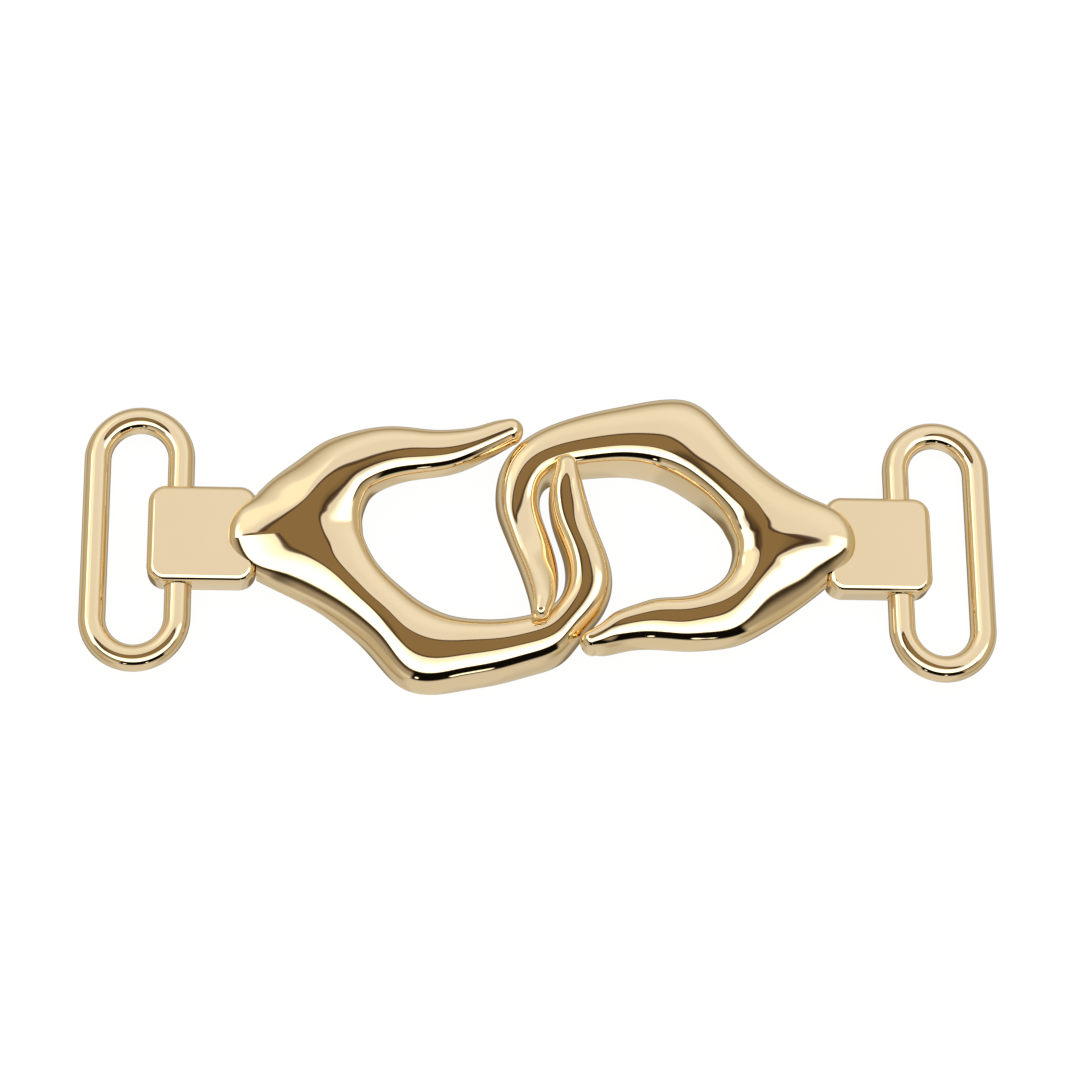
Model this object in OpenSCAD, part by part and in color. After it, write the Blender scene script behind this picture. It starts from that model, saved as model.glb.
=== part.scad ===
// Interlocking two-hook clasp for a 25 mm strap: two cast hooks that lie through each other, each
// riveted over the end of a flat block that carries an oval wire strap loop.
// Frame: millimetres, +Z up, the clasp lies on z = 0, its long axis is X, its middle is at 0, 0.

/* [Strap loops] */
// width of the strap that the loop takes, which is the length of its slot
strap_w = 25; // [15:1:50]
// clear height of the slot, across the bars
slot_h = 6.45; // [3:0.05:15]
// radius of the round wire
wire_r = 1.5; // [0.8:0.1:3]

/* [Blocks] */
// distance from the clasp's middle to the block's outer end
block_end = 44.35; // [40:0.05:60]
// length of the block, part of it under the hook's nose
block_l = 12.15; // [8:0.05:20]
// width of the block
block_w = 11.4; // [8:0.1:20]
// thickness of the block
block_t = 4.2; // [3.6:0.1:8]
// radius of the block's upright corners
block_r = 2; // [0.5:0.1:4]
// bevel along the block's top and bottom edges
block_bevel = 0.6; // [0.2:0.1:1]
// distance from the clasp's middle to the axis of the bore that the loop turns in
bore_x = 40.85; // [35:0.05:55]
// height of that axis
bore_z = 2.0; // [1.8:0.05:4]
// clearance around the wire in the bore
running_gap = 0.05; // [0.01:0.01:0.1]

/* [Rivets] */
// distance from the clasp's middle to the rivet
rivet_x = 33.9; // [30:0.05:50]
// radius of the rivet's shank
rivet_r = 0.8; // [0.4:0.05:1.5]
// height of the rivet's top, inside the nose
rivet_top = 4.5; // [4.2:0.05:4.7]
// depth of the rivet's foot in the block's underside
rivet_foot = 0.1; // [0:0.05:1]
// clearance around the rivet
rivet_gap = 0.02; // [0.01:0.01:0.1]

/* [Hooks] */
// how softly the crown is rounded over at its crest, as a share of the half width
crest_round = 0.25; // [0.1:0.05:1]
// gap between the nose and the block
seat_gap = 0.04; // [0.02:0.01:0.2]

/* [Hidden] */
loop_c = slot_h / 2 + wire_r;           // radius of the wire's centre line round the loop's ends
loop_s = strap_w - slot_h;              // straight length of each bar
droop = asin((bore_z - wire_r) / (2 * loop_c)); // the loop's outer bar lies on the surface
gold = [0.91, 0.77, 0.53];
gold_worn = [0.86, 0.71, 0.46];

// A hook's sections, from the end of the free arm, round the nose, to the fingertip. Each row:
// x and y of the inner edge, x and y of the outer edge, height of the flat back, height of the
// crest, where the crest is from inner 0 to outer 1, how far the top falls to the inner shoulder and
// to the outer one, and how boxy the walls are: 2 is an ellipse, more is a slab with round shoulders.
IX = 0; IY = 1; OX = 2; OY = 3; BACK = 4; CREST = 5; AT = 6; INNER = 7; OUTER = 8; FULL = 9;
ridge_row = 14; // the row along which the nose has its sharp ridge
left_rows = [
  [-3.38, 11.24, -4.12, 14.13, 3.2, 5.7, 0.59, 0.25, 0.2, 3.0], // end of the free arm
  [-4.75, 10.4, -5.5, 13.9, 3.1, 5.8, .585, .2, 0.3, 2.9],
  [-7.20, 9.0, -7.70, 13.20, 3.0, 5.95, .58, .2, 0.3, 2.8],
  [-9.80, 7.8, -10.10, 12.80, 3.1, 6.12, .585, .2, 0.3, 2.8], // free arm
  [-12.6, 7.15, -12.90, 12.70, 3.25, 6.34, .59, .2, 0.4, 2.8],
  [-15.2, 6.7, -15.90, 12.95, 3.3, 6.56, .59, .25, 0.4, 2.8],
  [-17.3, 6.05, -18.90, 12.80, 3.2, 6.8, .59, .35, 0.5, 3.0],
  [-18.8, 5.3, -22.00, 12.10, 3.0, 7, .585, .5, 0.9, 3.3],
  [-19.6, 4.60, -25.00, 10.95, 2.6, 7.13, .57, .75, 1.4, 3.7],
  [-20.05, 3.70, -28.00, 8.75, 2.2, 7.12, .55, 1.05, 2.0, 4.3], // root of the nose
  [-20.3, 2.90, -30.80, 6.50, 2.0, 7.01, .51, 1.28, 2.1, 5.0],
  [-20.4, 2.20, -32.90, 4.35, 1.8, 6.84, .465, 1.42, 2.0, 5.7],
  [-20.4, 1.60, -34.50, 2.80, 1.8, 6.65, .42, 1.47, 1.5, 6.1],
  [-20.35, 1.00, -35.35, 1.00, 1.8, 6.46, .38, 1.45, 1.15, 6.3], // ridge of the nose
  [-20.3, 0.40, -35.40, -0.80, 1.8, 6.28, .355, 1.35, .95, 6.3],
  [-20.15, -0.20, -34.70, -2.70, 1.8, 6.08, .35, 1.17, 1.6, 6.1],
  [-19.9, -0.80, -33.00, -4.35, 1.8, 5.85, .365, .97, 1.78, 5.6],
  [-19.5, -1.60, -30.70, -5.65, 1.8, 5.63, 0.39, .82, 1.95, 4.9],
  [-18.9, -2.55, -28.00, -6.95, 1.7, 5.41, 0.41, .7, 2.0, 4.2],
  [-18.1, -3.50, -25.30, -8.35, 1.5, 5.22, 0.43, .58, 1.8, 3.6],
  [-16.9, -4.60, -22.60, -10.25, 1.2, 5.06, 0.45, .5, 1.6, 3.2],
  [-15.4, -5.80, -20.00, -12.50, 0.9, 4.94, 0.45, 0.5, 1.4, 3.0],
  [-13.9, -6.90, -17.80, -15.00, 0.6, 4.83, 0.45, 0.5, 1.3, 3.0], // hip
  [-12.2, -7.80, -15.60, -16.80, 0.3, 4.75, 0.42, 0.5, 1.1, 3.0],
  [-10.2, -8.55, -12.60, -17.40, 0.1, 4.75, 0.39, 0.4, 0.9, 3.0],
  [-7.70, -8.90, -8.90, -16.85, 0.0, 4.75, 0.38, 0.4, 0.8, 3.0], // finger arm
  [-4.90, -8.90, -5.00, -16.10, 0.0, 4.75, 0.39, 0.4, 0.8, 3.0],
  [-2.20, -8.50, -1.20, -15.00, 0.0, 4.75, 0.39, 0.4, 0.7, 3.0],
  [0.00, -7.80, 2.30, -13.50, 0.0, 4.8, 0.38, 0.4, 0.6, 3.0],
  [1.50, -6.80, 4.50, -10.95, 0.1, 4.9, 0.36, 0.4, 0.5, 3.2],
  [2.30, -5.50, 6.60, -8.40, 0.25, 5.05, 0.36, 0.5, 0.6, 3.5], // root of the finger
  [2.65, -4.00, 7.80, -5.60, 0.5, 5.3, 0.37, 0.5, 0.6, 3.8],
  [2.50, -2.20, 7.70, -3.10, 0.85, 5.58, 0.37, 0.5, 0.6, 4.0],
  [1.90, -0.30, 7.00, -0.90, 1.3, 5.87, 0.37, 0.4, 0.6, 4.0],
  [1.10, 1.90, 6.00, 1.50, 1.9, 6.18, 0.38, 0.3, 0.6, 4.0],
  [0.70, 4.00, 5.20, 3.70, 2.6, 6.5, 0.40, 0.3, 0.4, 4.0],
  [0.75, 6.00, 4.60, 5.60, 3.4, 6.8, 0.42, 0.3, 0.4, 4.0],
  [1.15, 7.40, 4.10, 7.20, 4.2, 6.94, 0.46, 0.3, 0.3, 4.0],
  [1.40, 8.20, 3.80, 8.10, 4.7, 6.9, 0.50, 0.2, 0.2, 4.0], // fingertip
];
// The right hook, turned half round to lie like the left one. Its ring is slightly smaller, and its
// hip is further out.
right_rows = [
  [-4.85, 10.75, -5.75, 13.20, 2.3, 5.4, 0.34, 0.2, 0.4, 3.0],
  [-6.45, 9.65, -6.95, 13.15, 2.0, 5.35, 0.32, 0.3, 0.6, 3.0],
  [-7.70, 8.50, -8.50, 12.75, 1.8, 5.3, 0.31, 0.4, 0.7, 3.0],
  [-10.1, 7.40, -10.60, 12.30, 1.6, 5.25, 0.31, 0.4, 0.7, 3.0],
  [-12.6, 6.55, -13.10, 12.20, 1.4, 5.22, 0.31, 0.4, 0.7, 3.0],
  [-15.2, 6.30, -16.00, 12.35, 1.4, 5.23, 0.31, 0.5, 0.7, 3.0],
  [-17.6, 5.80, -18.90, 12.20, 1.5, 5.28, 0.31, 0.5, 0.9, 3.0],
  [-19.3, 5.00, -22.00, 11.60, 1.5, 5.4, .335, 0.5, 1.2, 3.4],
  [-20.4, 4.10, -25.00, 10.10, 1.6, 5.59, .345, 0.6, 1.75, 3.8],
  [-21.0, 3.20, -28.00, 8.10, 1.7, 5.78, .325, 0.8, 2.3, 4.3],
  [-21.3, 2.50, -30.80, 6.00, 1.8, 5.95, .295, .85, 2.35, 4.9],
  [-21.5, 1.80, -32.90, 4.30, 1.8, 6.1, .28, .88, 2.15, 5.5],
  [-21.6, 1.20, -34.60, 2.80, 1.8, 6.28, 0.27, 1.08, 1.8, 5.9],
  [-21.6, 0.60, -35.50, 1.00, 1.8, 6.45, .255, 1.2, 1.15, 6.1],
  [-21.5, 0.00, -35.60, -0.80, 1.8, 6.6, .26, 1.25, 0.95, 6.1],
  [-21.3, -0.60, -34.90, -2.70, 1.8, 6.7, .28, 1.25, 1.2, 5.9],
  [-21.0, -1.20, -33.20, -4.20, 1.8, 6.8, .315, 1.2, 1.4, 5.5],
  [-20.6, -2.00, -30.90, -5.30, 1.8, 6.9, .365, 1.1, 1.5, 4.9],
  [-19.9, -2.95, -28.20, -6.75, 1.7, 7, .42, .95, 1.4, 4.3],
  [-19.0, -3.90, -25.60, -8.70, 1.5, 7.03, .465, .78, 1.2, 3.9],
  [-17.9, -4.95, -23.20, -11.00, 1.2, 6.97, .49, 0.6, 1.0, 3.7],
  [-16.4, -6.10, -21.10, -13.40, 0.9, 6.84, 0.52, 0.5, 0.8, 3.6],
  [-14.9, -7.15, -19.30, -15.60, 0.6, 6.63, 0.52, 0.5, 0.7, 3.6],
  [-13.2, -8.00, -17.00, -17.20, 0.3, 6.39, 0.51, 0.5, 0.7, 3.6],
  [-11.2, -8.55, -13.60, -17.37, 0.1, 6.15, 0.51, 0.4, 0.7, 3.6],
  [-8.70, -8.75, -9.80, -16.65, 0.0, 5.91, 0.51, 0.4, 0.7, 3.6],
  [-6.00, -8.55, -6.10, -15.80, 0.0, 5.68, 0.51, 0.4, 0.6, 3.6],
  [-3.40, -8.20, -2.50, -14.70, 0.0, 5.45, 0.51, 0.4, 0.5, 3.6],
  [-1.40, -7.60, 0.60, -13.30, 0.0, 5.25, 0.52, 0.4, 0.5, 3.6],
  [-0.30, -6.80, 3.20, -11.30, 0.1, 5.02, 0.53, 0.4, 0.5, 3.6],
  [0.15, -5.60, 4.70, -8.90, 0.25, 4.78, 0.55, 0.4, 0.5, 3.6],
  [0.20, -4.10, 5.20, -6.40, 0.4, 4.55, 0.58, 0.4, 0.5, 3.6],
  [-0.20, -2.50, 5.10, -4.00, 0.6, 4.35, 0.62, 0.4, 0.4, 3.6],
  [-0.90, -0.40, 4.40, -1.60, 0.9, 4.25, 0.66, 0.4, 0.4, 3.6],
  [-1.50, 1.90, 3.50, 1.00, 1.5, 4.5, 0.64, 0.4, 0.4, 3.4],
  [-1.70, 4.20, 2.70, 3.50, 2.4, 5.4, 0.56, 0.4, 0.5, 3.2],
  [-1.50, 6.30, 2.10, 5.90, 3.5, 6.3, 0.50, 0.4, 0.4, 3.0],
  [-1.00, 8.00, 1.75, 7.80, 4.5, 6.85, 0.50, 0.3, 0.3, 3.0],
  [-0.50, 9.00, 1.60, 8.80, 4.8, 6.9, 0.50, 0.2, 0.2, 3.0],
];

// shares of the half width, from a shoulder to the crest, at which a section has a point
steps_across = [0.99, 0.96, 0.9, 0.8, 0.6, 0.38, 0.16];
spans = 2; // sections made between two rows
end_angles = [28, 54, 80]; // the sections of a half round end

// a smooth curve through four neighbouring rows, at share t between the middle two
function smooth(a, b, c, d, t) =
  ((2 * b) + (c - a) * t + (2 * a - 5 * b + 4 * c - d) * t * t + (3 * b - a - 3 * c + d) * t * t * t) / 2;
function before(rows, k) = rows[max(0, k - 1)];
function after(rows, k) = rows[min(len(rows) - 1, k + 2)];
function between(rows, k, t) = smooth(before(rows, k), rows[k], rows[k + 1], after(rows, k), t);
// the outer fall has a crease at the ridge, so it never looks across that row
function outer_fall(rows, k, t) = smooth(
  k == ridge_row ? 2 * rows[k] - rows[k + 1] : before(rows, k), rows[k], rows[k + 1],
  k + 1 == ridge_row ? 2 * rows[k + 1] - rows[k] : after(rows, k), t)[OUTER];
function sections(rows) = [
  for (k = [0:len(rows) - 2]) for (j = [0:spans - 1])
    let (s = between(rows, k, j / spans), fall = outer_fall(rows, k, j / spans))
      [for (i = [IX:FULL]) i == OUTER ? fall : i == BACK ? max(0, s[i]) : s[i]],
  rows[len(rows) - 1]];
// how far a crown has fallen at u, from its soft crest at 0 to the shoulder at 1
function crown(u) = (sqrt(u * u + pow(crest_round, 2)) - crest_round)
  / (sqrt(1 + pow(crest_round, 2)) - crest_round);
function rise(s, fall, u) =
  (s[CREST] - s[BACK] - fall * crown(u)) * pow(1 - pow(u, s[FULL]), 1 / s[FULL]);
function place(s, along, up) =
  [s[IX] + (s[OX] - s[IX]) * along, s[IY] + (s[OY] - s[IY]) * along, s[BACK] + up];
// one section: up the inner wall, over the crest and down the outer wall
function ring(s) = concat(
  [place(s, 0, 0)],
  [for (u = steps_across) place(s, s[AT] * (1 - u), rise(s, s[INNER], u))],
  [place(s, s[AT], rise(s, 0, 0))],
  [for (k = [len(steps_across) - 1:-1:0]) let (u = steps_across[k])
    place(s, s[AT] + (1 - s[AT]) * u, rise(s, s[OUTER], u))],
  [place(s, 1, 0)]);
// the sections of a half round end beyond section s; side is 1 to the left of inner to outer
function round_end(s, side) =
  let (across = [s[OX] - s[IX], s[OY] - s[IY]], radius = norm(across) / 2,
    ahead = side * [-across.y, across.x, 0] / 2,
    centre = [(s[IX] + s[OX]) / 2, (s[IY] + s[OY]) / 2, (s[BACK] + s[CREST]) / 2])
    [for (a = end_angles) [for (p = ring(s)) centre + (p - centre) * cos(a) + ahead * sin(a)]];

module swept(rows) {
  all = sections(rows);
  first = round_end(all[0], -1);
  rings = concat([for (k = [len(first) - 1:-1:0]) first[k]], [for (s = all) ring(s)],
    round_end(all[len(all) - 1], 1));
  n = len(rings[0]);
  m = len(rings);
  points = [for (r = rings) for (p = r) p];
  walls = [for (i = [0:m - 2]) for (j = [0:n - 1])
    let (a = i * n + j, b = i * n + (j + 1) % n)
      each [[a, b + n, b], [a, a + n, b + n]]];
  ends = concat(
    [for (j = [1:n - 2]) [0, j, j + 1]],
    [for (j = [1:n - 2]) [(m - 1) * n, (m - 1) * n + j + 1, (m - 1) * n + j]]);
  polyhedron(points = points, faces = concat(walls, ends), convexity = 8);
}

// the block's outline, grown by g: upright corners round, edges bevelled
module block_body(g) {
  hull() for (sx = [0, 1]) for (sy = [-1, 1])
    translate([-block_end + block_r + sx * (block_l - 2 * block_r), sy * (block_w / 2 - block_r), 0]) {
      translate([0, 0, -g]) cylinder(r = block_r - block_bevel + g, h = block_t + 2 * g, $fn = 32);
      translate([0, 0, block_bevel]) cylinder(r = block_r + g, h = block_t - 2 * block_bevel, $fn = 32);
    }
}

module hook(rows) {
  difference() {
    swept(rows);
    // seat over the block's inner end
    translate([-block_end - 1, -block_w / 2 - seat_gap, -1])
      cube([block_l + 1 + seat_gap, block_w + 2 * seat_gap, block_t + 1 + seat_gap]);
    // blind hole for the rivet
    translate([-rivet_x, 0, 0]) cylinder(r = rivet_r + rivet_gap, h = rivet_top + rivet_gap, $fn = 48);
  }
}

module block() {
  difference() {
    block_body(0);
    translate([-bore_x, 0, bore_z]) rotate([90, 0, 0])
      cylinder(r = wire_r + running_gap, h = block_w + 4, center = true, $fn = 64);
    translate([-rivet_x, 0, -1]) cylinder(r = rivet_r + rivet_gap, h = block_t + 2, $fn = 48);
  }
}

module rivet() {
  translate([-rivet_x, 0, rivet_foot]) cylinder(r = rivet_r, h = rivet_top - rivet_foot, $fn = 48);
}

// a closed oval of round wire: the bar at x = 0 is the one in the block, the other is on -X
module wire_loop() {
  for (x = [0, -2 * loop_c]) translate([x, 0, 0]) rotate([90, 0, 0])
    cylinder(r = wire_r, h = loop_s, center = true, $fn = 64);
  for (s = [0, 1]) translate([-loop_c, 0, 0]) rotate([0, 0, s * 180])
    translate([0, loop_s / 2, 0]) rotate_extrude(angle = 180, $fn = 96)
      translate([loop_c, 0]) circle(r = wire_r, $fn = 64);
}

module strap_loop() {
  translate([-bore_x, 0, bore_z]) rotate([0, -droop, 0]) wire_loop();
}

module left_hook() color(gold) hook(left_rows);
module right_hook() color(gold) rotate([0, 0, 180]) hook(right_rows);
module left_block() color(gold) block();
module right_block() color(gold) rotate([0, 0, 180]) block();
module left_rivet() color(gold_worn) rivet();
module right_rivet() color(gold_worn) rotate([0, 0, 180]) rivet();
module left_loop() color(gold) strap_loop();
module right_loop() color(gold) rotate([0, 0, 180]) strap_loop();

left_hook();
right_hook();
left_block();
right_block();
left_rivet();
right_rivet();
left_loop();
right_loop();
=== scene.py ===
"""Interlocking two-hook clasp in polished light gold, lying fastened on a pale floor."""
import math

import bmesh
import bpy
import numpy as np
from mathutils import Matrix, Vector


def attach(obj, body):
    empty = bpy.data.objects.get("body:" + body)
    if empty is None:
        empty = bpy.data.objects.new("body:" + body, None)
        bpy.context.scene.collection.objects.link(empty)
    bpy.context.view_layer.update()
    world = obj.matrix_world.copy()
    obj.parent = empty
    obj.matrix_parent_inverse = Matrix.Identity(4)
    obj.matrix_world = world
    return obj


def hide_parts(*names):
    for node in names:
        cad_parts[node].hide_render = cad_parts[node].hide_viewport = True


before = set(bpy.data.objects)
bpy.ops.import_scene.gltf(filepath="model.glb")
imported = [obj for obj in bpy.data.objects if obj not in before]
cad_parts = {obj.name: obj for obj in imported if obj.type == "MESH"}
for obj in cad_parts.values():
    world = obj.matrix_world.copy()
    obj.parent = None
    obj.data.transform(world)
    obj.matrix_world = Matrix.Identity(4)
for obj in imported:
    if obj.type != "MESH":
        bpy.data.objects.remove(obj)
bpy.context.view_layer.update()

MM = 0.001

# Sizes in millimetres, the same as in the part's source.
STRAP_WIDTH = 25.0
SLOT_HEIGHT = 6.45
WIRE_RADIUS = 1.5
BLOCK_END = 44.35
BLOCK_LENGTH = 12.15
BLOCK_WIDTH = 11.4
BLOCK_THICKNESS = 4.2
BLOCK_CORNER = 2.0
BORE_X = 40.85
BORE_HEIGHT = 2.0
RUNNING_GAP = 0.05
RIVET_X = 33.9
RIVET_RADIUS = 0.8
RIVET_TOP = 4.5
RIVET_GAP = 0.02
SEAT_GAP = 0.04
LOOP_BEND = SLOT_HEIGHT / 2 + WIRE_RADIUS
LOOP_DROOP = math.asin((BORE_HEIGHT - WIRE_RADIUS) / (2 * LOOP_BEND))
# How softly a hook's crown is rounded over at its crest, as a share of the half width.
CREST_ROUND = 0.25

# Edges that are finer here than in the part's source: millimetres, and the slope in degrees.
BLOCK_BEVEL = 0.75
BEVEL_SLOPE = 26.0
BLOCK_SHOULDER = 1.0
SOFT_EDGE = 0.1
EDGE_MARGIN = 0.06
FOOT_ROUND = 0.3
# How far cutting tools reach past what they cut, and the smallest corner radius.
REACH = 1.0
SMALLEST = 0.02

# How finely the shapes are made, in degrees or counts.
BETWEEN_ROWS = 9
FOOT_ANGLES = (0, 18, 36, 54, 72)
WALL_END = 70
WALL_STEPS = 20
CROWN_STEPS = 16
END_ANGLES = (8, 16, 25, 34, 43, 52, 61, 70, 79, 86)
CORNER_STEPS = 13
SHOULDER_STEPS = 9
SOFT_STEPS = 5
BAR_SIDES = 96
WIRE_SIDES = 64
BEND_STEPS = 40
# The bends' radius as a share of the oval's width: a little under half, so that they never meet.
BEND_SHARE = 0.4999
# Edges sharper than these angles stay sharp.
HOOK_SHARP = 40
BLOCK_SHARP = 30
LOOP_SHARP = 60

# The row along which the nose has its sharp ridge, and the column of the outer fall.
RIDGE_ROW = 14
OUTER_FALL = 8
# A hook's sections from the end of the free arm, round the nose, to the fingertip. Each row: x and y
# of the inner edge, x and y of the outer edge, height of the back, height of the crest, where the
# crest is from inner 0 to outer 1, how far the crown falls to each shoulder, and how boxy the walls
# are: 2 is an ellipse, more is a slab with round shoulders.
LEFT_HOOK = [
    # inner x, y; outer x, y; back, crest, place of the crest; inner fall, outer fall; boxiness
    (-3.38, 11.24, -4.12, 14.13, 3.20, 5.70, 0.590, 0.25, 0.20, 3.0),  # end of the free arm
    (-4.75, 10.40, -5.50, 13.90, 3.10, 5.80, 0.585, 0.20, 0.30, 2.9),
    (-7.20, 9.00, -7.70, 13.20, 3.00, 5.95, 0.580, 0.20, 0.30, 2.8),
    (-9.80, 7.80, -10.10, 12.80, 3.10, 6.12, 0.585, 0.20, 0.30, 2.8),  # free arm
    (-12.60, 7.15, -12.90, 12.70, 3.25, 6.34, 0.590, 0.20, 0.40, 2.8),
    (-15.20, 6.70, -15.90, 12.95, 3.30, 6.56, 0.590, 0.25, 0.40, 2.8),
    (-17.30, 6.05, -18.90, 12.80, 3.20, 6.80, 0.590, 0.35, 0.50, 3.0),
    (-18.80, 5.30, -22.00, 12.10, 3.00, 7.00, 0.585, 0.50, 0.90, 3.3),
    (-19.60, 4.60, -25.00, 10.95, 2.60, 7.13, 0.570, 0.75, 1.40, 3.7),
    (-20.05, 3.70, -28.00, 8.75, 2.20, 7.12, 0.550, 1.05, 2.00, 4.3),  # root of the nose
    (-20.30, 2.90, -30.80, 6.50, 2.00, 7.01, 0.510, 1.28, 2.10, 5.0),
    (-20.40, 2.20, -32.90, 4.35, 1.80, 6.84, 0.465, 1.42, 2.00, 5.7),
    (-20.40, 1.60, -34.50, 2.80, 1.80, 6.65, 0.420, 1.47, 1.50, 6.1),
    (-20.35, 1.00, -35.35, 1.00, 1.80, 6.46, 0.380, 1.45, 1.15, 6.3),
    (-20.30, 0.40, -35.40, -0.80, 1.80, 6.28, 0.355, 1.35, 0.95, 6.3),  # ridge of the nose
    (-20.15, -0.20, -34.70, -2.70, 1.80, 6.08, 0.350, 1.17, 1.60, 6.1),
    (-19.90, -0.80, -33.00, -4.35, 1.80, 5.85, 0.365, 0.97, 1.78, 5.6),
    (-19.50, -1.60, -30.70, -5.65, 1.80, 5.63, 0.390, 0.82, 1.95, 4.9),
    (-18.90, -2.55, -28.00, -6.95, 1.70, 5.41, 0.410, 0.70, 2.00, 4.2),
    (-18.10, -3.50, -25.30, -8.35, 1.50, 5.22, 0.430, 0.58, 1.80, 3.6),
    (-16.90, -4.60, -22.60, -10.25, 1.20, 5.06, 0.450, 0.50, 1.60, 3.2),
    (-15.40, -5.80, -20.00, -12.50, 0.90, 4.94, 0.450, 0.50, 1.40, 3.0),
    (-13.90, -6.90, -17.80, -15.00, 0.60, 4.83, 0.450, 0.50, 1.30, 3.0),  # hip
    (-12.20, -7.80, -15.60, -16.80, 0.30, 4.75, 0.420, 0.50, 1.10, 3.0),
    (-10.20, -8.55, -12.60, -17.40, 0.10, 4.75, 0.390, 0.40, 0.90, 3.0),
    (-7.70, -8.90, -8.90, -16.85, 0.00, 4.75, 0.380, 0.40, 0.80, 3.0),  # finger arm
    (-4.90, -8.90, -5.00, -16.10, 0.00, 4.75, 0.390, 0.40, 0.80, 3.0),
    (-2.20, -8.50, -1.20, -15.00, 0.00, 4.75, 0.390, 0.40, 0.70, 3.0),
    (0.00, -7.80, 2.30, -13.50, 0.00, 4.80, 0.380, 0.40, 0.60, 3.0),
    (1.50, -6.80, 4.50, -10.95, 0.10, 4.90, 0.360, 0.40, 0.50, 3.2),
    (2.30, -5.50, 6.60, -8.40, 0.25, 5.05, 0.360, 0.50, 0.60, 3.5),  # root of the finger
    (2.65, -4.00, 7.80, -5.60, 0.50, 5.30, 0.370, 0.50, 0.60, 3.8),
    (2.50, -2.20, 7.70, -3.10, 0.85, 5.58, 0.370, 0.50, 0.60, 4.0),
    (1.90, -0.30, 7.00, -0.90, 1.30, 5.87, 0.370, 0.40, 0.60, 4.0),
    (1.10, 1.90, 6.00, 1.50, 1.90, 6.18, 0.380, 0.30, 0.60, 4.0),
    (0.70, 4.00, 5.20, 3.70, 2.60, 6.50, 0.400, 0.30, 0.40, 4.0),
    (0.75, 6.00, 4.60, 5.60, 3.40, 6.80, 0.420, 0.30, 0.40, 4.0),
    (1.15, 7.40, 4.10, 7.20, 4.20, 6.94, 0.460, 0.30, 0.30, 4.0),
    (1.40, 8.20, 3.80, 8.10, 4.70, 6.90, 0.500, 0.20, 0.20, 4.0),  # fingertip
]
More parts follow.
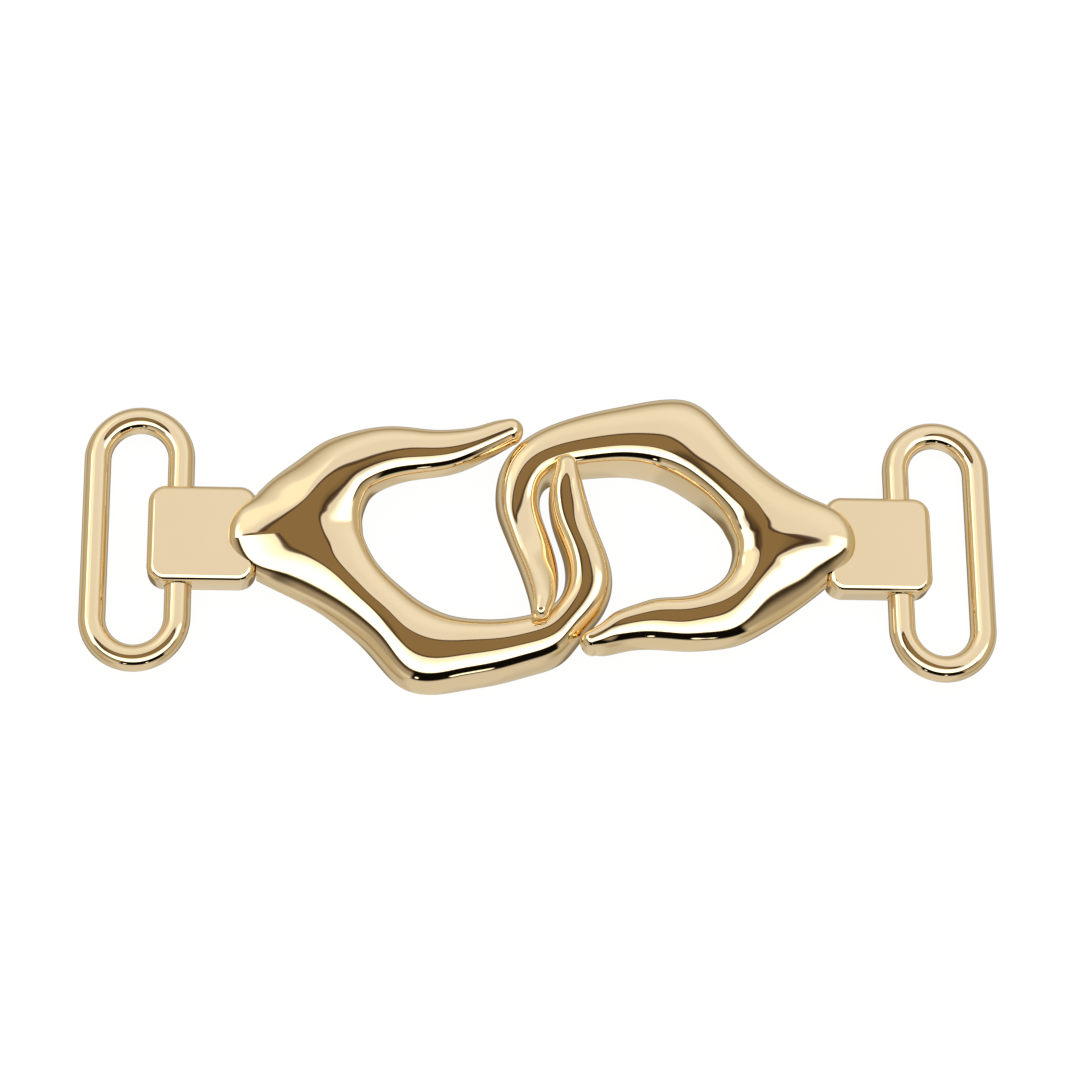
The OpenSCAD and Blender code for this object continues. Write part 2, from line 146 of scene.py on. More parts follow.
# The right hook, turned half round to lie like the left one.
RIGHT_HOOK = [
    (-4.85, 10.75, -5.75, 13.20, 2.30, 5.40, 0.340, 0.20, 0.40, 3.0),
    (-6.45, 9.65, -6.95, 13.15, 2.00, 5.35, 0.320, 0.30, 0.60, 3.0),
    (-7.70, 8.50, -8.50, 12.75, 1.80, 5.30, 0.310, 0.40, 0.70, 3.0),
    (-10.10, 7.40, -10.60, 12.30, 1.60, 5.25, 0.310, 0.40, 0.70, 3.0),
    (-12.60, 6.55, -13.10, 12.20, 1.40, 5.22, 0.310, 0.40, 0.70, 3.0),
    (-15.20, 6.30, -16.00, 12.35, 1.40, 5.23, 0.310, 0.50, 0.70, 3.0),
    (-17.60, 5.80, -18.90, 12.20, 1.50, 5.28, 0.310, 0.50, 0.90, 3.0),
    (-19.30, 5.00, -22.00, 11.60, 1.50, 5.40, 0.335, 0.50, 1.20, 3.4),
    (-20.40, 4.10, -25.00, 10.10, 1.60, 5.59, 0.345, 0.60, 1.75, 3.8),
    (-21.00, 3.20, -28.00, 8.10, 1.70, 5.78, 0.325, 0.80, 2.30, 4.3),
    (-21.30, 2.50, -30.80, 6.00, 1.80, 5.95, 0.295, 0.85, 2.35, 4.9),
    (-21.50, 1.80, -32.90, 4.30, 1.80, 6.10, 0.280, 0.88, 2.15, 5.5),
    (-21.60, 1.20, -34.60, 2.80, 1.80, 6.28, 0.270, 1.08, 1.80, 5.9),
    (-21.60, 0.60, -35.50, 1.00, 1.80, 6.45, 0.255, 1.20, 1.15, 6.1),
    (-21.50, 0.00, -35.60, -0.80, 1.80, 6.60, 0.260, 1.25, 0.95, 6.1),
    (-21.30, -0.60, -34.90, -2.70, 1.80, 6.70, 0.280, 1.25, 1.20, 5.9),
    (-21.00, -1.20, -33.20, -4.20, 1.80, 6.80, 0.315, 1.20, 1.40, 5.5),
    (-20.60, -2.00, -30.90, -5.30, 1.80, 6.90, 0.365, 1.10, 1.50, 4.9),
    (-19.90, -2.95, -28.20, -6.75, 1.70, 7.00, 0.420, 0.95, 1.40, 4.3),
    (-19.00, -3.90, -25.60, -8.70, 1.50, 7.03, 0.465, 0.78, 1.20, 3.9),
    (-17.90, -4.95, -23.20, -11.00, 1.20, 6.97, 0.490, 0.60, 1.00, 3.7),
    (-16.40, -6.10, -21.10, -13.40, 0.90, 6.84, 0.520, 0.50, 0.80, 3.6),
    (-14.90, -7.15, -19.30, -15.60, 0.60, 6.63, 0.520, 0.50, 0.70, 3.6),
    (-13.20, -8.00, -17.00, -17.20, 0.30, 6.39, 0.510, 0.50, 0.70, 3.6),
    (-11.20, -8.55, -13.60, -17.37, 0.10, 6.15, 0.510, 0.40, 0.70, 3.6),
    (-8.70, -8.75, -9.80, -16.65, 0.00, 5.91, 0.510, 0.40, 0.70, 3.6),
    (-6.00, -8.55, -6.10, -15.80, 0.00, 5.68, 0.510, 0.40, 0.60, 3.6),
    (-3.40, -8.20, -2.50, -14.70, 0.00, 5.45, 0.510, 0.40, 0.50, 3.6),
    (-1.40, -7.60, 0.60, -13.30, 0.00, 5.25, 0.520, 0.40, 0.50, 3.6),
    (-0.30, -6.80, 3.20, -11.30, 0.10, 5.02, 0.530, 0.40, 0.50, 3.6),
    (0.15, -5.60, 4.70, -8.90, 0.25, 4.78, 0.550, 0.40, 0.50, 3.6),
    (0.20, -4.10, 5.20, -6.40, 0.40, 4.55, 0.580, 0.40, 0.50, 3.6),
    (-0.20, -2.50, 5.10, -4.00, 0.60, 4.35, 0.620, 0.40, 0.40, 3.6),
    (-0.90, -0.40, 4.40, -1.60, 0.90, 4.25, 0.660, 0.40, 0.40, 3.6),
    (-1.50, 1.90, 3.50, 1.00, 1.50, 4.50, 0.640, 0.40, 0.40, 3.4),
    (-1.70, 4.20, 2.70, 3.50, 2.40, 5.40, 0.560, 0.40, 0.50, 3.2),
    (-1.50, 6.30, 2.10, 5.90, 3.50, 6.30, 0.500, 0.40, 0.40, 3.0),
    (-1.00, 8.00, 1.75, 7.80, 4.50, 6.85, 0.500, 0.30, 0.30, 3.0),
    (-0.50, 9.00, 1.60, 8.80, 4.80, 6.90, 0.500, 0.20, 0.20, 3.0),
]


# Meshes


def solid(name, points, faces):
    """A mesh object from points in millimetres, its faces turned outward."""
    points = np.asarray(points, dtype=float) * MM
    mesh = bpy.data.meshes.new(name)
    mesh.from_pydata(points.tolist(), [], faces)
    shape = bmesh.new()
    shape.from_mesh(mesh)
    bmesh.ops.recalc_face_normals(shape, faces=shape.faces)
    shape.to_mesh(mesh)
    shape.free()
    mesh.shade_smooth()
    piece = bpy.data.objects.new(name, mesh)
    bpy.context.scene.collection.objects.link(piece)
    return piece


def tube_of_rings(rings):
    """Points and faces of a closed skin over rings of equally many points, its two ends shut."""
    count = len(rings[0])
    points = np.concatenate(rings)
    faces = []
    for i in range(len(rings) - 1):
        for j in range(count):
            a = i * count + j
            b = i * count + (j + 1) % count
            faces.append((a, b, b + count, a + count))
    faces.append(tuple(range(count))[::-1])
    faces.append(tuple(range((len(rings) - 1) * count, len(rings) * count)))
    return points, faces


def bake(piece):
    """Turns a piece and its modifiers into a plain mesh."""
    graph = bpy.context.evaluated_depsgraph_get()
    mesh = bpy.data.meshes.new_from_object(piece.evaluated_get(graph))
    piece.modifiers.clear()
    piece.data = mesh


def cut(piece, tools):
    """Cuts the tools' shapes out of a piece and removes the tools."""
    for tool in tools:
        knife = piece.modifiers.new("cut", "BOOLEAN")
        knife.operation = "DIFFERENCE"
        knife.solver = "EXACT"
        knife.object = tool
    bake(piece)
    for tool in tools:
        bpy.data.objects.remove(tool)


def finish_piece(piece, turned, angle):
    """Turns a piece half round where asked, shades it smooth and keeps edges over the angle sharp."""
    mesh = piece.data
    if turned:
        mesh.transform(Matrix.Rotation(math.pi, 4, "Z"))
    mesh.shade_smooth()
    mesh.set_sharp_from_angle(angle=math.radians(angle))
    mesh.materials.clear()
    mesh.update()


def round_bar(name, start, end, radius):
    """A plain cylinder between two points, as a cutting tool."""
    start = np.asarray(start, dtype=float)
    end = np.asarray(end, dtype=float)
    axis = (end - start) / np.linalg.norm(end - start)
    side = np.cross(axis, (1.0, 0.0, 0.0))
    side = side / np.linalg.norm(side)
    other = np.cross(axis, side)
    turn = np.linspace(0, 2 * math.pi, BAR_SIDES, endpoint=False)[:, None]
    rim = radius * (np.cos(turn) * side + np.sin(turn) * other)
    return solid(name, *tube_of_rings([start + rim, end + rim]))


def rivet_hole(top):
    """The rivet's hole, from below the clasp up to the given height, as a cutting tool."""
    return round_bar("hole", (-RIVET_X, 0, -REACH), (-RIVET_X, 0, top), RIVET_RADIUS + RIVET_GAP)


def plain_box(name, low, high):
    """A plain box, as a cutting tool."""
    x0, y0, z0 = low
    x1, y1, z1 = high
    lower = np.array([(x0, y0, z0), (x1, y0, z0), (x1, y1, z0), (x0, y1, z0)])
    upper = np.array([(x0, y0, z1), (x1, y0, z1), (x1, y1, z1), (x0, y1, z1)])
    return solid(name, *tube_of_rings([lower, upper]))


# Hooks


def natural_curve(rows, knots, per_span):
    """Rows made between the given ones on natural cubic curves, the last row left out."""
    gap = np.diff(knots)
    count = len(rows)
    system = np.eye(count)
    right = np.zeros_like(rows)
    slope = np.diff(rows, axis=0) / gap[:, None]
    for i in range(1, count - 1):
        system[i, i - 1] = gap[i - 1]
        system[i, i] = 2 * (gap[i - 1] + gap[i])
        system[i, i + 1] = gap[i]
        right[i] = 6 * (slope[i] - slope[i - 1])
    bend = np.linalg.solve(system, right)
    out = []
    for i in range(count - 1):
        for t in np.arange(per_span) / per_span:
            s = 1 - t
            curve = (s**3 - s) * bend[i] + (t**3 - t) * bend[i + 1]
            out.append(s * rows[i] + t * rows[i + 1] + curve * gap[i] ** 2 / 6)
    return out


def through_rows(rows, per_span):
    """Sections on smooth curves through the rows. The outer fall has a crease at the nose's ridge."""
    rows = np.array(rows)
    middle = np.column_stack([rows[:, 0] + rows[:, 2], rows[:, 1] + rows[:, 3]]) / 2
    knots = np.concatenate([[0], np.cumsum(np.hypot(*np.diff(middle, axis=0).T))])
    sections = np.array(natural_curve(rows, knots, per_span))
    fall = rows[:, OUTER_FALL : OUTER_FALL + 1]
    before = natural_curve(fall[: RIDGE_ROW + 1], knots[: RIDGE_ROW + 1], per_span)
    after = natural_curve(fall[RIDGE_ROW:], knots[RIDGE_ROW:], per_span)
    sections[:, OUTER_FALL : OUTER_FALL + 1] = before + after
    return np.vstack([sections, rows[-1]])


def side_steps(full):
    """Pairs (outward, rise) of a section's half, from the wall's foot to the crest."""
    wall = np.radians(np.linspace(0, WALL_END, WALL_STEPS, endpoint=False))
    out = [(math.cos(a) ** (2 / full), math.sin(a) ** (2 / full)) for a in wall]
    last = math.cos(math.radians(WALL_END)) ** (2 / full)
    for u in np.linspace(last, 0, CROWN_STEPS):
        out.append((u, (1 - u**full) ** (1 / full)))
    return out


def crown_fall(u):
    """How far a crown has fallen at u, from a soft ridge at 0 to the shoulder at 1."""
    edge = math.sqrt(1 + CREST_ROUND**2) - CREST_ROUND
    return (math.sqrt(u * u + CREST_ROUND**2) - CREST_ROUND) / edge


def hook_ring(row):
    """One closed section: the flat back, a rounded foot, the wall, the shoulder and the crest."""
    inner = row[0:2]
    across = row[2:4] - inner
    back, crest, at, inner_fall, outer_fall, full = max(0.0, row[4]), *row[5:10]
    width = np.hypot(*across)
    foot = FOOT_ROUND * min(1, width, crest - back)
    halves = []
    for start, reach, fall in ((0, at, inner_fall), (1, at - 1, outer_fall)):
        half = []
        for a in np.radians(FOOT_ANGLES):
            inset = math.copysign(foot * (1 - math.sin(a)) / width, reach)
            half.append((start + inset, foot * (1 - math.cos(a))))
        for u, rise in side_steps(full):
            height = (crest - back - fall * crown_fall(u)) * rise
            half.append((start + reach * (1 - u), max(foot, height)))
        halves.append(half)
    outline = halves[0] + halves[1][-2::-1]
    return np.array([(*(inner + across * share), back + up) for share, up in outline])


def round_end(row, neighbour, ring):
    """Rings of the half round end beyond a hook's first or last section."""
    across = row[2:4] - row[0:2]
    radius = np.hypot(*across) / 2
    ahead = np.array([-across[1], across[0]]) / (2 * radius)
    away = row[0:2] + row[2:4] - neighbour[0:2] - neighbour[2:4]
    ahead = np.array([*(ahead * math.copysign(1, ahead @ away)), 0])
    centre = np.array([*(row[0:2] + row[2:4]) / 2, (row[4] + row[5]) / 2])
    rings = []
    for a in np.radians(END_ANGLES):
        rings.append(centre + (ring - centre) * math.cos(a) + ahead * radius * math.sin(a))
    return rings


def make_hook(name, node, rows, turned):
    """A cast hook over its block: seat and blind rivet hole cut in its underside."""
    sections = through_rows(rows, BETWEEN_ROWS)
    rings = [hook_ring(row) for row in sections]
    first = round_end(sections[0], sections[1], rings[0])
    last = round_end(sections[-1], sections[-2], rings[-1])
    rings = first[::-1] + rings + last
    hook = solid(name, *tube_of_rings(rings))
    seat = plain_box(
        "seat",
        (-BLOCK_END - REACH, -BLOCK_WIDTH / 2 - SEAT_GAP, -REACH),
        (-BLOCK_END + BLOCK_LENGTH + SEAT_GAP, BLOCK_WIDTH / 2 + SEAT_GAP, BLOCK_THICKNESS + SEAT_GAP),
    )
    hole = rivet_hole(RIVET_TOP + RIVET_GAP)
    cut(hook, [seat, hole])
    finish_piece(hook, turned, HOOK_SHARP)
    hook.data.materials.append(gold)
    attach(hook, "clasp")
    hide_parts(node)


# Blocks


def block_outline(inset, height):
    """The block's outline drawn in by the inset: straight sides and round corners."""
    radius = max(BLOCK_CORNER - inset, SMALLEST)
    half_x = BLOCK_LENGTH / 2 - inset
    half_y = BLOCK_WIDTH / 2 - inset
    centre = -BLOCK_END + BLOCK_LENGTH / 2
    points = []
    for start, sx, sy in ((0, 1, 1), (90, -1, 1), (180, -1, -1), (270, 1, -1)):
        for a in np.radians(np.linspace(start, start + 90, CORNER_STEPS)):
            x = sx * (half_x - radius) + radius * math.cos(a)
            y = sy * (half_y - radius) + radius * math.sin(a)
            points.append((centre + x, y, height))
    return np.array(points)


def block_edge():
    """Pairs (inset, height) up the block's edge: wall, round shoulder, bevel, soft turn, flat top."""
    slope = math.radians(BEVEL_SLOPE)
    run = BLOCK_SHOULDER * (1 - math.sin(slope))
    rise = (BLOCK_BEVEL - run) * math.tan(slope)
    foot = BLOCK_THICKNESS - rise - BLOCK_SHOULDER * math.cos(slope)
    edge = [(0.0, BLOCK_THICKNESS / 2)]
    for a in np.linspace(math.pi / 2, slope, SHOULDER_STEPS):
        edge.append((BLOCK_SHOULDER * (1 - math.sin(a)), foot + BLOCK_SHOULDER * math.cos(a)))
    start = BLOCK_BEVEL + SOFT_EDGE * math.tan(slope / 2)
    for a in np.linspace(slope, 0, SOFT_STEPS):
        fall = SOFT_EDGE * (1 - math.cos(a))
        edge.append((start - SOFT_EDGE * math.sin(a), BLOCK_THICKNESS - fall))
    edge.append((start + EDGE_MARGIN, BLOCK_THICKNESS))
    return edge


def make_block(name, node, turned):
    """A flat plate with bevelled edges, bored for the loop's bar and drilled for the rivet."""
    upper = block_edge()
    lower = [(inset, BLOCK_THICKNESS - height) for inset, height in upper[::-1]]
    rings = [block_outline(inset, height) for inset, height in lower[:-1] + upper[1:]]
    block = solid(name, *tube_of_rings(rings))
    bore = round_bar(
        "bore",
        (-BORE_X, -BLOCK_WIDTH, BORE_HEIGHT),
        (-BORE_X, BLOCK_WIDTH, BORE_HEIGHT),
        WIRE_RADIUS + RUNNING_GAP,
    )
    hole = rivet_hole(BLOCK_THICKNESS + REACH)
    cut(block, [bore, hole])
    finish_piece(block, turned, BLOCK_SHARP)
    block.data.materials.append(gold)
    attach(block, "clasp")
    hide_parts(node)


# Strap loops


def wire_oval():
    """Node tree of a closed oval of round wire, its inner bar on the Y axis."""
    tree = bpy.data.node_groups.new("Wire oval", "GeometryNodeTree")
    sizes = {}
    for label in ("Slot length", "Slot height", "Wire radius", "Droop"):
        sizes[label] = tree.interface.new_socket(
            name=label, in_out="INPUT", socket_type="NodeSocketFloat"
        )
    tree.interface.new_socket(name="Wire", in_out="OUTPUT", socket_type="NodeSocketGeometry")
    entry = tree.nodes.new("NodeGroupInput")
    exit_node = tree.nodes.new("NodeGroupOutput")

    def maths(operation, a, b):
        node = tree.nodes.new("ShaderNodeMath")
        node.operation = operation
        for socket, value in zip(node.inputs, (a, b)):
            if isinstance(value, (int, float)):
                socket.default_value = value
            else:
                tree.links.new(value, socket)
        return node.outputs[0]

    thickness = maths("MULTIPLY", entry.outputs["Wire radius"], 2.0)
    across = maths("ADD", entry.outputs["Slot height"], thickness)
    along = maths("ADD", entry.outputs["Slot length"], thickness)
    frame_curve = tree.nodes.new("GeometryNodeCurvePrimitiveQuadrilateral")
    tree.links.new(across, frame_curve.inputs["Width"])
    tree.links.new(along, frame_curve.inputs["Height"])
    bend = tree.nodes.new("GeometryNodeFilletCurve")
    bend.mode = "POLY"
    bend.inputs["Count"].default_value = BEND_STEPS
    tree.links.new(frame_curve.outputs[0], bend.inputs["Curve"])
    tree.links.new(maths("MULTIPLY", across, BEND_SHARE), bend.inputs["Radius"])
    profile = tree.nodes.new("GeometryNodeCurvePrimitiveCircle")
    profile.inputs["Resolution"].default_value = WIRE_SIDES
    tree.links.new(entry.outputs["Wire radius"], profile.inputs["Radius"])
    wire = tree.nodes.new("GeometryNodeCurveToMesh")
    tree.links.new(bend.outputs[0], wire.inputs["Curve"])
    tree.links.new(profile.outputs[0], wire.inputs["Profile Curve"])
    shift = tree.nodes.new("ShaderNodeCombineXYZ")
    tree.links.new(maths("MULTIPLY", across, -0.5), shift.inputs["X"])
    beside = tree.nodes.new("GeometryNodeTransform")
    tree.links.new(wire.outputs[0], beside.inputs["Geometry"])
    tree.links.new(shift.outputs[0], beside.inputs["Translation"])
    tilt = tree.nodes.new("ShaderNodeCombineXYZ")
    tree.links.new(maths("MULTIPLY", entry.outputs["Droop"], -1.0), tilt.inputs["Y"])
    droop = tree.nodes.new("GeometryNodeTransform")
    tree.links.new(beside.outputs[0], droop.inputs["Geometry"])
    tree.links.new(tilt.outputs[0], droop.inputs["Rotation"])
    lift = tree.nodes.new("GeometryNodeTransform")
    lift.inputs["Translation"].default_value = (-BORE_X * MM, 0, BORE_HEIGHT * MM)
    tree.links.new(droop.outputs[0], lift.inputs["Geometry"])
    real = tree.nodes.new("GeometryNodeRealizeInstances")
    tree.links.new(lift.outputs[0], real.inputs[0])
    finish_node = tree.nodes.new("GeometryNodeSetMaterial")
    finish_node.inputs["Material"].default_value = gold
    tree.links.new(real.outputs[0], finish_node.inputs["Geometry"])
    tree.links.new(finish_node.outputs[0], exit_node.inputs[0])
    return tree, sizes


def make_loop(name, node, body, turned):
    """A strap loop: its inner bar turns in the block's bore, its outer bar rests on the floor."""
    tree, sizes = wire_oval()
    # Any small mesh can hold the tree, because the wire takes its place.
    loop = solid(name, [(0, 0, 0), (1, 0, 0), (0, 1, 0)], [(0, 1, 2)])
    maker = loop.modifiers.new("wire", "NODES")
    maker.node_group = tree
    values = {
        "Slot length": STRAP_WIDTH * MM,
        "Slot height": SLOT_HEIGHT * MM,
        "Wire radius": WIRE_RADIUS * MM,
        "Droop": LOOP_DROOP,
    }
    for label, value in values.items():
        maker[sizes[label].identifier] = value
    bake(loop)
    finish_piece(loop, turned, LOOP_SHARP)
    loop.data.materials.append(gold)
    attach(loop, body)
    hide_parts(node)


# Finishes


class Net:
    """A socket of a node tree. Python's signs on it add Math nodes, and make adds any other node."""

    def __init__(self, tree, socket=None):
        self.tree = tree
        self.socket = socket

    def make(self, kind, settings=None, inputs=None, out=0):
        """A node of a kind: its settings first, then its sockets' values or links."""
        node = self.tree.nodes.new(kind)
        for name, value in (settings or {}).items():
            if name == "stops":
                ramp = node.color_ramp
                while len(ramp.elements) < len(value):
                    ramp.elements.new(1.0)
                for element, (place, colour) in zip(ramp.elements, value):
                    element.position = place
                    element.color = (*colour, 1.0)
            else:
                setattr(node, name, value)
        for name, value in (inputs or {}).items():
            if isinstance(value, Net):
                self.tree.links.new(value.socket, node.inputs[name])
            else:
                node.inputs[name].default_value = value
        return Net(self.tree, node.outputs[out] if len(node.outputs) else None)

    def maths(self, operation, *values):
        return self.make("ShaderNodeMath", {"operation": operation}, dict(enumerate(values)))

    def __add__(self, other):
        return self.maths("ADD", self, other)

    __radd__ = __add__

    def __sub__(self, other):
        return self.maths("SUBTRACT", self, other)

    def __rsub__(self, other):
        return self.maths("SUBTRACT", other, self)

    def __mul__(self, other):
        return self.maths("MULTIPLY", self, other)

    __rmul__ = __mul__

    def __truediv__(self, other):
        return self.maths("DIVIDE", self, other)

    def __pow__(self, other):
        return self.maths("POWER", self, other)

    def step(self, start, end):
        """0 before the start and 1 after the end, with a soft change between them."""
        ease = {"interpolation_type": "SMOOTHSTEP"}
        return self.make("ShaderNodeMapRange", ease, {"Value": self, "From Min": start, "From Max": end})

    def blend(self, first, second):
        """Two colours mixed by this share."""
        return self.make(
            "ShaderNodeMix", {"data_type": "RGBA"}, {"Factor": self, 6: first, 7: second}, 2
        )


# A finish's patterns: the scale of each noise per metre, and its detail.
CLOUDS = (90.0, 3.0)
WAVES = (260.0, 1.0)
GRAIN = (900.0, 2.0)
HAIRLINES = (5200.0, 2.0)
# Between these values of the clouds the colour changes to the deep one.
CLOUD_CHANGE = (0.35, 0.7)
# Depth of the hairline marks in metres, and the clouds' and the grain's shares in the roughness.
HAIRLINE_DEPTH = 0.00000012
CLOUD_ROUGHNESS = 0.02
GRAIN_ROUGHNESS = 0.012


def metal(name, colour, deep, roughness, wave_depth):
    """Plated metal: faint clouds in its colour and polish, a slight waviness and hairline marks."""
    material = bpy.data.materials.new(name)
    material.use_nodes = True
    tree = material.node_tree
    tree.nodes.clear()
    net = Net(tree)
    place = net.make("ShaderNodeTexCoord", out="Object")

    def noise(scale, detail):
        return net.make("ShaderNodeTexNoise", inputs={"Vector": place, "Scale": scale, "Detail": detail})

    cloud = noise(*CLOUDS)
    colour_mix = cloud.step(*CLOUD_CHANGE).blend((*colour, 1), (*deep, 1))
    polish = roughness + CLOUD_ROUGHNESS * cloud + GRAIN_ROUGHNESS * noise(*GRAIN)
    relief = noise(*WAVES) * wave_depth + noise(*HAIRLINES) * HAIRLINE_DEPTH
    bump = net.make(
        "ShaderNodeBump", inputs={"Height": relief, "Distance": 1.0, "Strength": 1.0}
    )
    surface = net.make(
        "ShaderNodeBsdfPrincipled",
        inputs={"Base Color": colour_mix, "Metallic": 1.0, "Roughness": polish, "Normal": bump},
    )
    net.make("ShaderNodeOutputMaterial", inputs={"Surface": surface})
    return material


gold = metal(
    "Light gold plate",
    colour=(0.935, 0.765, 0.505),
    deep=(0.925, 0.75, 0.48),
    roughness=0.02,
    wave_depth=0.0000008,
)
rivet_gold = metal(
    "Rubbed gold",
    colour=(0.86, 0.66, 0.40),
    deep=(0.80, 0.58, 0.33),
    roughness=0.25,
    wave_depth=0.000003,
)


# Pieces

make_hook("left_hook_casting", "left_hook", LEFT_HOOK, False)
make_hook("right_hook_casting", "right_hook", RIGHT_HOOK, True)
make_block("left_block_plate", "left_block", False)
make_block("right_block_plate", "right_block", True)
make_loop("left_strap_wire", "left_loop", "left_strap_loop", False)
make_loop("right_strap_wire", "right_loop", "right_strap_loop", True)
for rivet in ("left_rivet", "right_rivet"):
    for slot in bpy.data.objects[rivet].material_slots:
        slot.material = rivet_gold


# Floor


# Millimetres. The height keeps it clear of the loops' outer bars.
FLOOR_HALF = 2000.0
FLOOR_HEIGHT = -0.03
# How bright the matt sheet and its glow are, and the glow's share in the two.
SHEET_GREY = 0.8
SHEET_GLOW = 1.05
GLOW_SHARE = 0.9


def make_floor():
    """A plain white sheet just under the clasp. It takes a faint shadow and isn't mirrored."""
    corners = ((-1, -1), (1, -1), (1, 1), (-1, 1))
    floor = solid(
        "floor_sheet",
        [(sx * FLOOR_HALF, sy * FLOOR_HALF, FLOOR_HEIGHT) for sx, sy in corners],
        [(0, 1, 2, 3)],
    )
    material = bpy.data.materials.new("White sheet")
    material.use_nodes = True
    tree = material.node_tree
    tree.nodes.clear()
    net = Net(tree)
    matt = net.make("ShaderNodeBsdfDiffuse", inputs={"Color": (SHEET_GREY, SHEET_GREY, SHEET_GREY, 1)})
    glow = net.make("ShaderNodeEmission", inputs={"Color": (1, 1, 1, 1), "Strength": SHEET_GLOW})
    both = net.make("ShaderNodeMixShader", inputs={0: GLOW_SHARE, 1: matt, 2: glow})
    net.make("ShaderNodeOutputMaterial", inputs={"Surface": both})
    floor.data.materials.append(material)
    floor.visible_glossy = False


make_floor()


# Studio


# Linear colours of what stands or hangs around the clasp.
CREAM_TENT = (
    # degrees from straight up, colour: brightest halfway up, dull at the table's edge and below it
    (0, (0.86, 0.85, 0.85)),
    (28, (0.86, 0.85, 0.84)),
    (42, (0.92, 0.92, 0.91)),
    (58, (0.93, 0.92, 0.91)),
    (76, (0.74, 0.71, 0.65)),
    (88, (0.57, 0.54, 0.46)),
    (95, (0.40, 0.33, 0.22)),
    (101, (0.42, 0.35, 0.25)),
    (112, (0.60, 0.57, 0.50)),
    (180, (0.62, 0.60, 0.54)),
)
WARM_SIDE = (0.56, 0.49, 0.36, 1)
SOUTH_FLOOR = (0.72, 0.69, 0.64, 1)
FAR_BELOW = (0.24, 0.19, 0.115, 1)
BOX_TOP = (1.2, 1.19, 1.13, 1)
BOX_BODY = (2.1, 2.1, 2.05, 1)
BRIGHT_PATCH = (1.15, 1.12, 1.02, 1)
FLANK = (0.40, 0.345, 0.27, 1)
FLANK_TOP = (0.05, 0.035, 0.022, 1)
BLACK_FLAG = (0.005, 0.004, 0.003, 1)
SMALL_LAMP = (1.6, 1.6, 1.5, 1)
OPENING = (0.275, 0.192, 0.095, 1)
OPENING_END = (0.10, 0.07, 0.04, 1)
OPENING_RIM = (0.05, 0.02, 0.012, 1)
# The soft edges that bound each of them. Each edge: what it goes by, and the degrees where the piece
# starts and where it is whole. Down is the angle from straight up, east and north are its two parts,
# side is east without its sign, and bearing is the compass angle from south towards east.
WARM_SIDE_EDGES = (("side", 46, 64), ("down", 98, 90))
SOUTH_FLOOR_EDGES = (("north", -70, -85), ("side", 70, 40))
FAR_BELOW_EDGES = (("down", 122, 160), ("north", -100, -30))
SOUTH_BOX_EDGES = (("north", -14, -18), ("down", 53, 47), ("side", 52, 42))
EAST_BOX_EDGES = (("east", 27, 33), ("east", 56, 48), ("north", 9, 3), ("down", 60, 50))
WEST_BOX_EDGES = (("east", -32, -38), ("east", -60, -52), ("north", 30, 22), ("down", 62, 54))
BRIGHT_PATCH_EDGES = (("east", -16, -24), ("east", -48, -40), ("north", 10, 18), ("north", 50, 40))
FLANK_EDGES = (("bearing", -76, -66), ("bearing", 76, 66), ("down", 49, 52), ("down", 76, 66))
BLACK_FLAG_EDGES = (("bearing", -28, -22), ("bearing", 46, 40), ("down", 49, 53), ("down", 82, 75))
# Where, in degrees, a box changes from top to body, the flanks from body to top, and the opening
# from its middle to its ends.
BOX_CHANGE = (24, 36)
FLANK_CHANGE = (62, 53)
OPENING_CHANGE = (15, 26)
# Places east and north: where the small lamps and the overhead opening are, and how far they reach.
LAMP_PLACES = ((-21, -66), (18, -69))
LAMP_EDGE = (3.4, 2.4)
OPENING_PLACE = (-4, -4)
OPENING_REACH = (28, 15)
# The opening's edge and its dark rim's two edges, in reaches, and how much the rim covers.
OPENING_EDGE = (1.1, 0.92)
RIM_INSIDE = (0.86, 0.94)
RIM_OUTSIDE = (1.1, 1.02)
RIM_COVER = 0.85


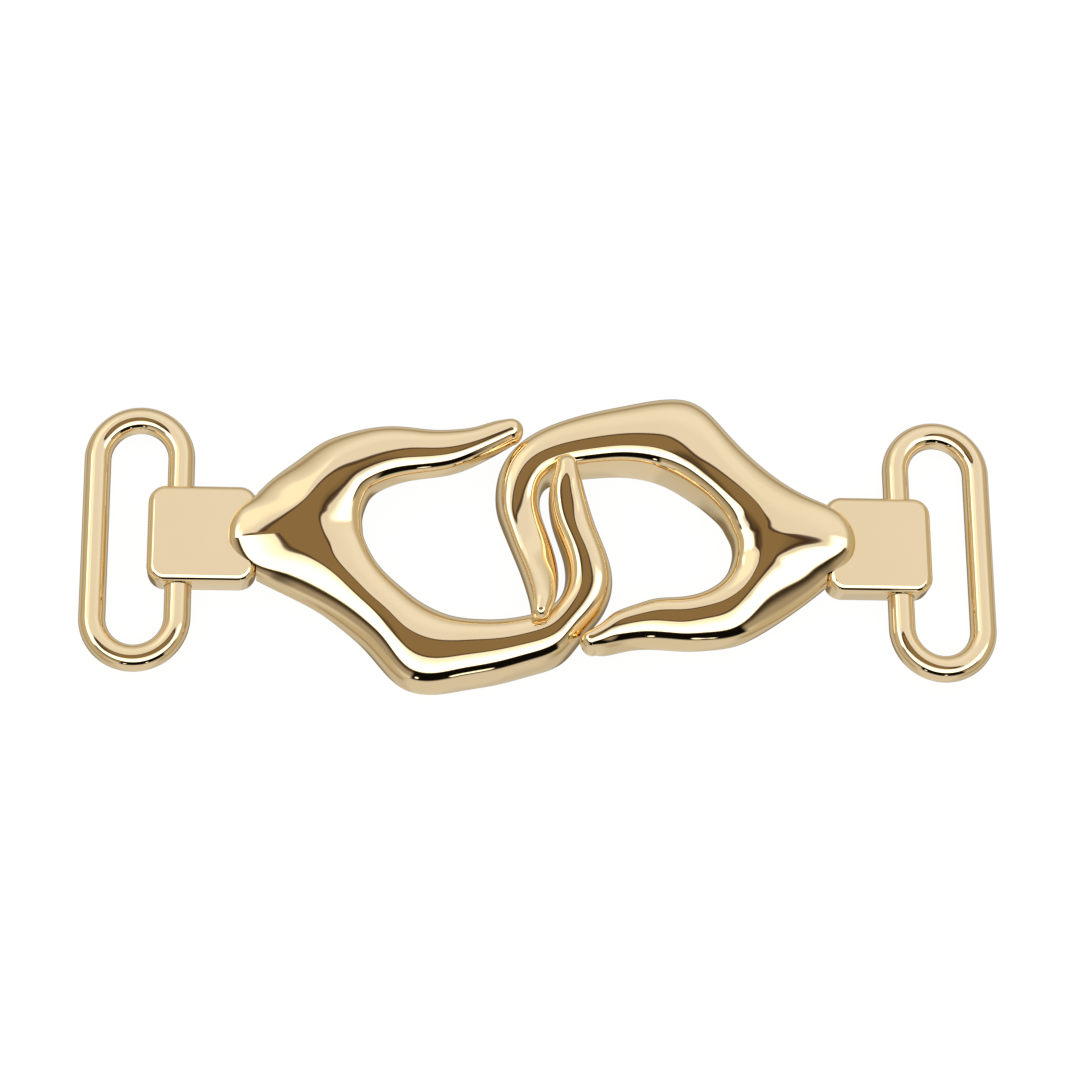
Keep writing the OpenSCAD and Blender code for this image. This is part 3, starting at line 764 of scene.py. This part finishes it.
def make_studio():
    """Soft boxes and flags all round, by direction: degrees from straight up, east and north."""
    world = bpy.data.worlds.new("Studio")
    bpy.context.scene.world = world
    world.use_nodes = True
    tree = world.node_tree
    tree.nodes.clear()
    net = Net(tree)
    towards = net.make("ShaderNodeTexCoord", out="Generated")
    parts = net.make("ShaderNodeSeparateXYZ", inputs={0: towards})
    node = parts.socket.node
    x, y, z = (Net(tree, node.outputs[i]) for i in range(3))
    # The small number keeps the division below good straight up and down.
    level = (x * x + y * y + 0.000001) ** 0.5
    down = z.maths("ARCCOSINE", z) * (180 / math.pi)
    east = down * x / level
    north = down * y / level
    side = east.maths("ABSOLUTE", east)
    bearing = east.maths("ARCTAN2", east, 0 - north) * (180 / math.pi)
    measures = {"down": down, "east": east, "north": north, "side": side, "bearing": bearing}

    def within(edges):
        """1 where a direction is within all of the soft edges, 0 where it is outside of any."""
        steps = [measures[name].step(start, end) for name, start, end in edges]
        return math.prod(steps[1:], start=steps[0])

    def away_from(place, reach=(1, 1)):
        """Distance in direction from a place, in reaches."""
        off_x = (east - place[0]) / reach[0]
        off_y = (north - place[1]) / reach[1]
        return (off_x * off_x + off_y * off_y) ** 0.5

    stops = [(angle / 180, colour) for angle, colour in CREAM_TENT]
    light = net.make("ShaderNodeValToRGB", {"stops": stops}, {"Fac": down / 180})
    light = within(WARM_SIDE_EDGES).blend(light, WARM_SIDE)
    # South of the table the floor is a little brighter.
    light = within(SOUTH_FLOOR_EDGES).blend(light, SOUTH_FLOOR)
    # Far below the table's edge it is darker, except in the south. It draws the thin dark rims.
    light = within(FAR_BELOW_EDGES).blend(light, FAR_BELOW)
    # White boxes: a wide one to the south, one to the east and one to the west. Each is fainter on
    # its upper side, towards the opening overhead.
    boxes = within(SOUTH_BOX_EDGES)
    for edges in (EAST_BOX_EDGES, WEST_BOX_EDGES):
        boxes = boxes.maths("MAXIMUM", boxes, within(edges))
    light = boxes.blend(light, down.step(*BOX_CHANGE).blend(BOX_TOP, BOX_BODY))
    # A bright patch high in the north-west, beside the west box.
    light = within(BRIGHT_PATCH_EDGES).blend(light, BRIGHT_PATCH)
    # Low in the south: grey-brown flanks under a dark edge, with a black flag between them.
    flank = within(FLANK_EDGES)
    light = flank.blend(light, FLANK)
    light = (flank * down.step(*FLANK_CHANGE)).blend(light, FLANK_TOP)
    light = within(BLACK_FLAG_EDGES).blend(light, BLACK_FLAG)
    # Small lamps that show through the flag.
    for place in LAMP_PLACES:
        light = away_from(place).step(*LAMP_EDGE).blend(light, SMALL_LAMP)
    # The dim brown opening overhead that the camera looks through, darker at its two ends.
    reach = away_from(OPENING_PLACE, OPENING_REACH)
    brown = side.step(*OPENING_CHANGE).blend(OPENING, OPENING_END)
    light = reach.step(*OPENING_EDGE).blend(light, brown)
    rim = reach.step(*RIM_INSIDE) * reach.step(*RIM_OUTSIDE)
    light = (rim * RIM_COVER).blend(light, OPENING_RIM)
    mirrored = net.make("ShaderNodeBackground", inputs={"Color": light, "Strength": 1.0})
    # The camera itself sees plain white behind the clasp.
    plain = net.make("ShaderNodeBackground", inputs={"Color": (1, 1, 1, 1), "Strength": 1.0})
    seen = net.make("ShaderNodeLightPath", out="Is Camera Ray")
    both = net.make("ShaderNodeMixShader", inputs={0: seen, 1: mirrored, 2: plain})
    net.make("ShaderNodeOutputWorld", inputs={"Surface": both})


make_studio()


# Camera


# Places in millimetres, the roll in degrees.
CAMERA_PLACE = (-26.229, -104.784, 324.170)
CAMERA_TARGET = (-0.22, 0.63, 1.55)
CAMERA_ROLL = -0.445
CAMERA_LENS = 100
CAMERA_SENSOR = 36
# Nearest and farthest that the camera sees, in metres.
CAMERA_RANGE = (0.01, 10)


def make_camera():
    """The photograph's view: 71 degrees up, a little west of south, with a long lens."""
    data = bpy.data.cameras.new("Camera")
    data.lens = CAMERA_LENS
    data.sensor_width = CAMERA_SENSOR
    data.clip_start, data.clip_end = CAMERA_RANGE
    camera = bpy.data.objects.new("Camera", data)
    bpy.context.scene.collection.objects.link(camera)
    place = Vector(CAMERA_PLACE) * MM
    target = Vector(CAMERA_TARGET) * MM
    back = (place - target).normalized()
    roll = math.radians(CAMERA_ROLL)
    up = Vector((-math.sin(roll), math.cos(roll), 0))
    right = up.cross(back).normalized()
    above = back.cross(right)
    turn = Matrix((right, above, back)).transposed().to_4x4()
    camera.matrix_world = Matrix.Translation(place) @ turn
    bpy.context.scene.camera = camera


make_camera()
bpy.context.scene.view_settings.view_transform = "Standard"
bpy.context.scene.view_settings.look = "None"

bpy.context.view_layer.update()
